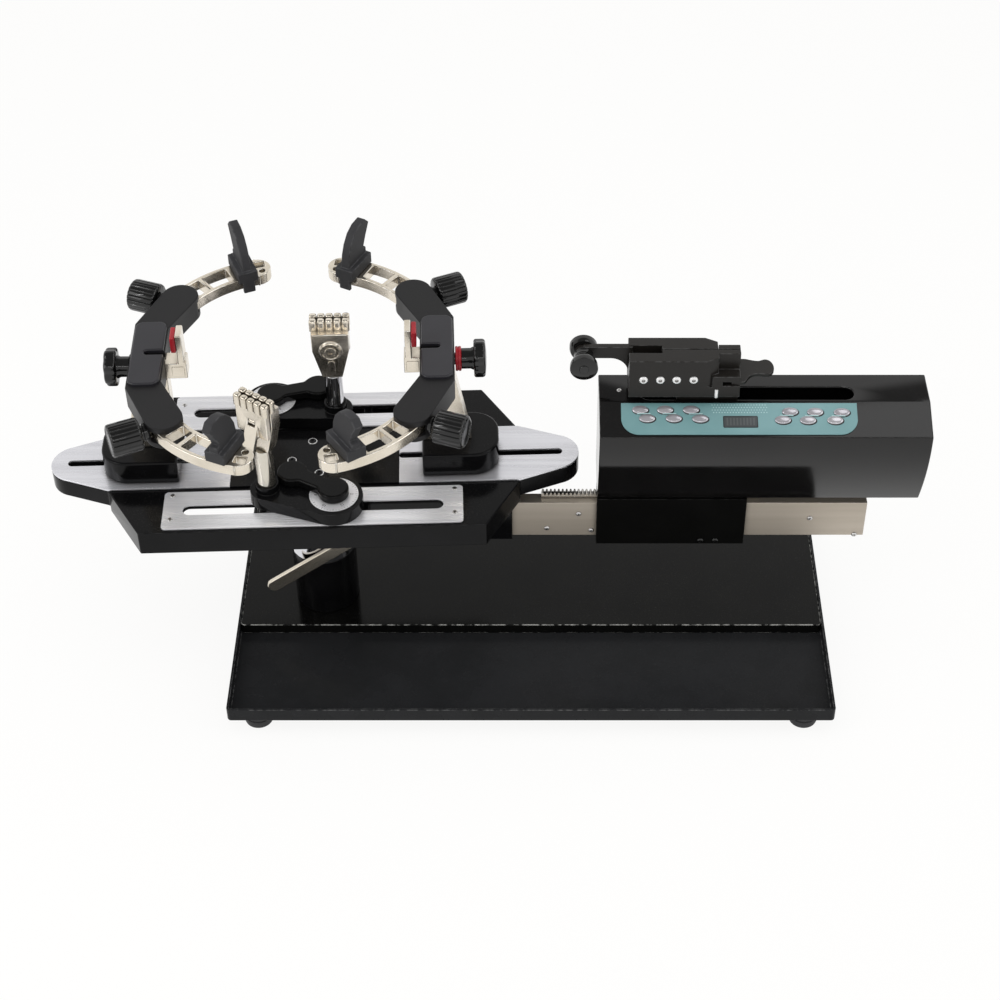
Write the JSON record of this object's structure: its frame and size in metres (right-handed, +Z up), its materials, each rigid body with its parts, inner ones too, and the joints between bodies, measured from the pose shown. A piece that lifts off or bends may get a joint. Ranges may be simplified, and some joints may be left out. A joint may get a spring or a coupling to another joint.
{
  "type": "racket stringing machine",
  "caption": "Table-top racket stringing machine: turntable with two racket supports and string clamps on a column, and an electronic tension head on a side rail over a flat base with a tray.",
  "frame": {"origin": "middle of the whole machine's box, on the surface that it stands on", "axes": "+X along the rail to the tension head, +Z up, the tray in front at -Y"},
  "size_m": [0.8648, 0.33, 0.4076],
  "materials": {
    "black_enamel": "gloss black enamel",
    "charcoal_cast": "satin charcoal paint",
    "black_plastic": "black plastic",
    "rubber": "dark grey rubber",
    "brushed_steel": "brushed along its length",
    "rail_steel": "warm satin",
    "nickel": "warm satin nickel plate on a casting",
    "chrome": "polished",
    "red_plastic": "red",
    "panel_film": "blue-green film with a grey display and silver keys"
  },
  "bodies": {
    "frame": {"base_pan": "black_enamel", "deck_cover": "black_enamel", "foot_front_left": "rubber", "foot_front_right": "rubber", "foot_rear_left": "rubber", "foot_rear_right": "rubber", "column": "black_enamel", "bearing_sleeve": "chrome", "rail_mount": "black_enamel", "rail_bar": "rail_steel", "tooth_rack": "rail_steel", "head_bracket": "black_enamel", "head_casing": "black_enamel", "key_panel": "panel_film"},
    "brake": {"brake_lever": "nickel"},
    "turntable": {"turntable_frame": "black_enamel", "beam_plate_left": "brushed_steel", "beam_plate_right": "brushed_steel", "hub_cover": "black_enamel", "clamp_rail_front": "brushed_steel", "clamp_rail_rear": "brushed_steel"},
    "left_support": {"left_carriage": "black_enamel", "left_post": "nickel", "left_yoke": "charcoal_cast"},
    "left_hook_slider": {"left_hook": "nickel", "left_hook_pad": "red_plastic"},
    "left_star": {"left_star_knob": "black_plastic"},
    "left_far_arm_body": {"left_far_arm": "nickel"},
    "left_far_knob_body": {"left_far_knob": "black_plastic"},
    "left_far_pad_body": {"left_far_pad": "rubber"},
    "left_near_arm_body": {"left_near_arm": "nickel"},
    "left_near_knob_body": {"left_near_knob": "black_plastic"},
    "left_near_pad_body": {"left_near_pad": "rubber"},
    "right_support": {"right_carriage": "black_enamel", "right_post": "nickel", "right_yoke": "charcoal_cast"},
    "right_hook_slider": {"right_hook": "nickel", "right_hook_pad": "red_plastic"},
    "right_star": {"right_star_knob": "black_plastic"},
    "right_near_arm_body": {"right_near_arm": "nickel"},
    "right_near_knob_body": {"right_near_knob": "black_plastic"},
    "right_near_pad_body": {"right_near_pad": "rubber"},
    "right_far_arm_body": {"right_far_arm": "nickel"},
    "right_far_knob_body": {"right_far_knob": "black_plastic"},
    "right_far_pad_body": {"right_far_pad": "rubber"},
    "front_clamp": {"front_clamp_base": "black_enamel"},
    "front_lock": {"front_lock_lever": "black_plastic"},
    "front_post": {"front_clamp_post": "chrome"},
    "front_head": {"front_clamp_head": "nickel"},
    "front_jaw": {"front_clamp_jaw": "nickel"},
    "rear_clamp": {"rear_clamp_base": "black_enamel"},
    "rear_lock": {"rear_lock_lever": "black_plastic"},
    "rear_post": {"rear_clamp_post": "chrome"},
    "rear_head": {"rear_clamp_head": "nickel"},
    "rear_jaw": {"rear_clamp_jaw": "nickel"},
    "gripper": {"gripper_body": "black_plastic"},
    "gripper_jaw": {"gripper_rear_jaw": "black_plastic"},
    "guide_spool": {"guide_spool_front": "black_plastic", "guide_spool_rear": "black_plastic"},
    "thumb_lever_body": {"thumb_lever": "black_plastic"}
  },
  "joints": [
    {"name": "brake_turn", "type": "hinge", "parent": "frame", "child": "brake", "pos_m": [-0.1276, -0.03298, 0.152], "axis": [0, 1, 0], "range_deg": [-10, 30]},
    {"name": "turntable_spin", "type": "hinge", "parent": "frame", "child": "turntable", "pos_m": [-0.1696, 0.00302, 0.21], "axis": [0, 0, 1], "continuous": true},
    {"name": "left_support_slide", "type": "slide", "parent": "turntable", "child": "left_support", "axis": [-0.9993, -0.0384, 0], "range_m": [-0.025, 0.025]},
    {"name": "left_hook_slide", "type": "slide", "parent": "left_support", "child": "left_hook_slider", "axis": [-0.9993, -0.0384, 0], "range_m": [-0.001, 0.012]},
    {"name": "left_star_turn", "type": "hinge", "parent": "left_hook_slider", "child": "left_star", "pos_m": [-0.36046, -0.00431, 0.349], "axis": [-0.9993, -0.0384, 0], "range_deg": [-180, 2160]},
    {"name": "left_far_arm_turn", "type": "hinge", "parent": "left_support", "child": "left_far_arm_body", "pos_m": [-0.301, 0.08904, 0.351], "axis": [0, 0, 1], "range_deg": [-12, 12]},
    {"name": "left_far_knob_turn", "type": "hinge", "parent": "left_support", "child": "left_far_knob_body", "pos_m": [-0.301, 0.08904, 0.351], "axis": [-0.9409, 0.3387, 0], "range_deg": [-720, 720]},
    {"name": "left_far_pad_swivel", "type": "hinge", "parent": "left_far_arm_body", "child": "left_far_pad_body", "pos_m": [-0.24436, 0.13751, 0.351], "axis": [0, 0, 1], "range_deg": [-20, 20]},
    {"name": "left_near_arm_turn", "type": "hinge", "parent": "left_support", "child": "left_near_arm_body", "pos_m": [-0.29401, -0.09283, 0.351], "axis": [0, 0, 1], "range_deg": [-12, 12]},
    {"name": "left_near_knob_turn", "type": "hinge", "parent": "left_support", "child": "left_near_knob_body", "pos_m": [-0.29401, -0.09283, 0.351], "axis": [-0.9121, -0.4099, 0], "range_deg": [-720, 720]},
    {"name": "left_near_pad_swivel", "type": "hinge", "parent": "left_near_arm_body", "child": "left_near_pad_body", "pos_m": [-0.23382, -0.13681, 0.351], "axis": [0, 0, 1], "range_deg": [-15, 25]},
    {"name": "right_support_slide", "type": "slide", "parent": "turntable", "child": "right_support", "axis": [0.9993, 0.0384, 0], "range_m": [-0.025, 0.025]},
    {"name": "right_hook_slide", "type": "slide", "parent": "right_support", "child": "right_hook_slider", "axis": [0.9993, 0.0384, 0], "range_m": [-0.006, 0.007]},
    {"name": "right_star_turn", "type": "hinge", "parent": "right_hook_slider", "child": "right_star", "pos_m": [-0.00472, 0.00935, 0.349], "axis": [0.9993, 0.0384, 0], "range_deg": [-1080, 1260]},
    {"name": "right_near_arm_turn", "type": "hinge", "parent": "right_support", "child": "right_near_arm_body", "pos_m": [-0.06418, -0.084, 0.351], "axis": [0, 0, 1], "range_deg": [-12, 12]},
    {"name": "right_near_knob_turn", "type": "hinge", "parent": "right_support", "child": "right_near_knob_body", "pos_m": [-0.06418, -0.084, 0.351], "axis": [0.9409, -0.3387, 0], "range_deg": [-720, 720]},
    {"name": "right_near_pad_swivel", "type": "hinge", "parent": "right_near_arm_body", "child": "right_near_pad_body", "pos_m": [-0.12081, -0.13247, 0.351], "axis": [0, 0, 1], "range_deg": [-32, 8]},
    {"name": "right_far_arm_turn", "type": "hinge", "parent": "right_support", "child": "right_far_arm_body", "pos_m": [-0.07117, 0.09787, 0.351], "axis": [0, 0, 1], "range_deg": [-12, 12]},
    {"name": "right_far_knob_turn", "type": "hinge", "parent": "right_support", "child": "right_far_knob_body", "pos_m": [-0.07117, 0.09787, 0.351], "axis": [0.9121, 0.4099, 0], "range_deg": [-720, 720]},
    {"name": "right_far_pad_swivel", "type": "hinge", "parent": "right_far_arm_body", "child": "right_far_pad_body", "pos_m": [-0.13135, 0.14185, 0.351], "axis": [0, 0, 1], "range_deg": [-12, 28]},
    {"name": "front_clamp_slide", "type": "slide", "parent": "turntable", "child": "front_clamp", "axis": [0.9993, 0.0384, 0], "range_m": [-0.03, 0.08]},
    {"name": "front_lock_turn", "type": "hinge", "parent": "front_clamp", "child": "front_lock", "pos_m": [-0.14585, -0.06812, 0.246], "axis": [0, 0, 1], "range_deg": [-75, 0]},
    {"name": "front_post_lift", "type": "slide", "parent": "front_clamp", "child": "front_post", "axis": [0, 0, 1], "range_m": [-0.016, 0]},
    {"name": "front_head_swivel", "type": "hinge", "parent": "front_post", "child": "front_head", "pos_m": [-0.2113, -0.05763, 0.31], "axis": [0, 0, 1], "continuous": true},
    {"name": "front_jaw_turn", "type": "hinge", "parent": "front_head", "child": "front_jaw", "pos_m": [-0.21614, -0.06486, 0.333], "axis": [0.831, -0.5563, 0], "range_deg": [-1.5, 3]},
    {"name": "rear_clamp_slide", "type": "slide", "parent": "turntable", "child": "rear_clamp", "axis": [0.9993, 0.0384, 0], "range_m": [-0.06, 0.04]},
    {"name": "rear_lock_turn", "type": "hinge", "parent": "rear_clamp", "child": "rear_lock", "pos_m": [-0.21833, 0.0732, 0.246], "axis": [0, 0, 1], "range_deg": [0, 75]},
    {"name": "rear_post_lift", "type": "slide", "parent": "rear_clamp", "child": "rear_post", "axis": [0, 0, 1], "range_m": [-0.009, 0.003]},
    {"name": "rear_head_swivel", "type": "hinge", "parent": "rear_post", "child": "rear_head", "pos_m": [-0.15288, 0.06271, 0.303], "axis": [0, 0, 1], "continuous": true},
    {"name": "rear_jaw_turn", "type": "hinge", "parent": "rear_head", "child": "rear_jaw", "pos_m": [-0.15321, 0.0714, 0.326], "axis": [-0.9993, -0.0384, 0], "range_deg": [-1.5, 3]},
    {"name": "gripper_slide", "type": "slide", "parent": "frame", "child": "gripper", "axis": [1, 0, 0], "range_m": [0, 0.1]},
    {"name": "rear_jaw_slide", "type": "slide", "parent": "gripper", "child": "gripper_jaw", "axis": [0, 1, 0], "range_m": [0, 0.004]},
    {"name": "guide_spool_spin", "type": "hinge", "parent": "gripper_jaw", "child": "guide_spool", "pos_m": [0.0959, 0.00302, 0.3551], "axis": [0, 1, 0], "continuous": true},
    {"name": "thumb_lever_turn", "type": "hinge", "parent": "gripper", "child": "thumb_lever_body", "pos_m": [0.2374, 0.00302, 0.3371], "axis": [0, 0, 1], "range_deg": [0, 15]}
  ],
  "couplings": [
    {"joint": "left_hook_slide", "follows": "left_star_turn", "m_per_rad": 0.00031831},
    {"joint": "left_far_arm_turn", "follows": "left_far_knob_turn", "ratio": -0.016667},
    {"joint": "left_near_arm_turn", "follows": "left_near_knob_turn", "ratio": 0.016667},
    {"joint": "right_hook_slide", "follows": "right_star_turn", "m_per_rad": 0.00031831},
    {"joint": "right_near_arm_turn", "follows": "right_near_knob_turn", "ratio": -0.016667},
    {"joint": "right_far_arm_turn", "follows": "right_far_knob_turn", "ratio": 0.016667},
    {"joint": "rear_jaw_slide", "follows": "thumb_lever_turn", "m_per_rad": 0.015}
  ]
}
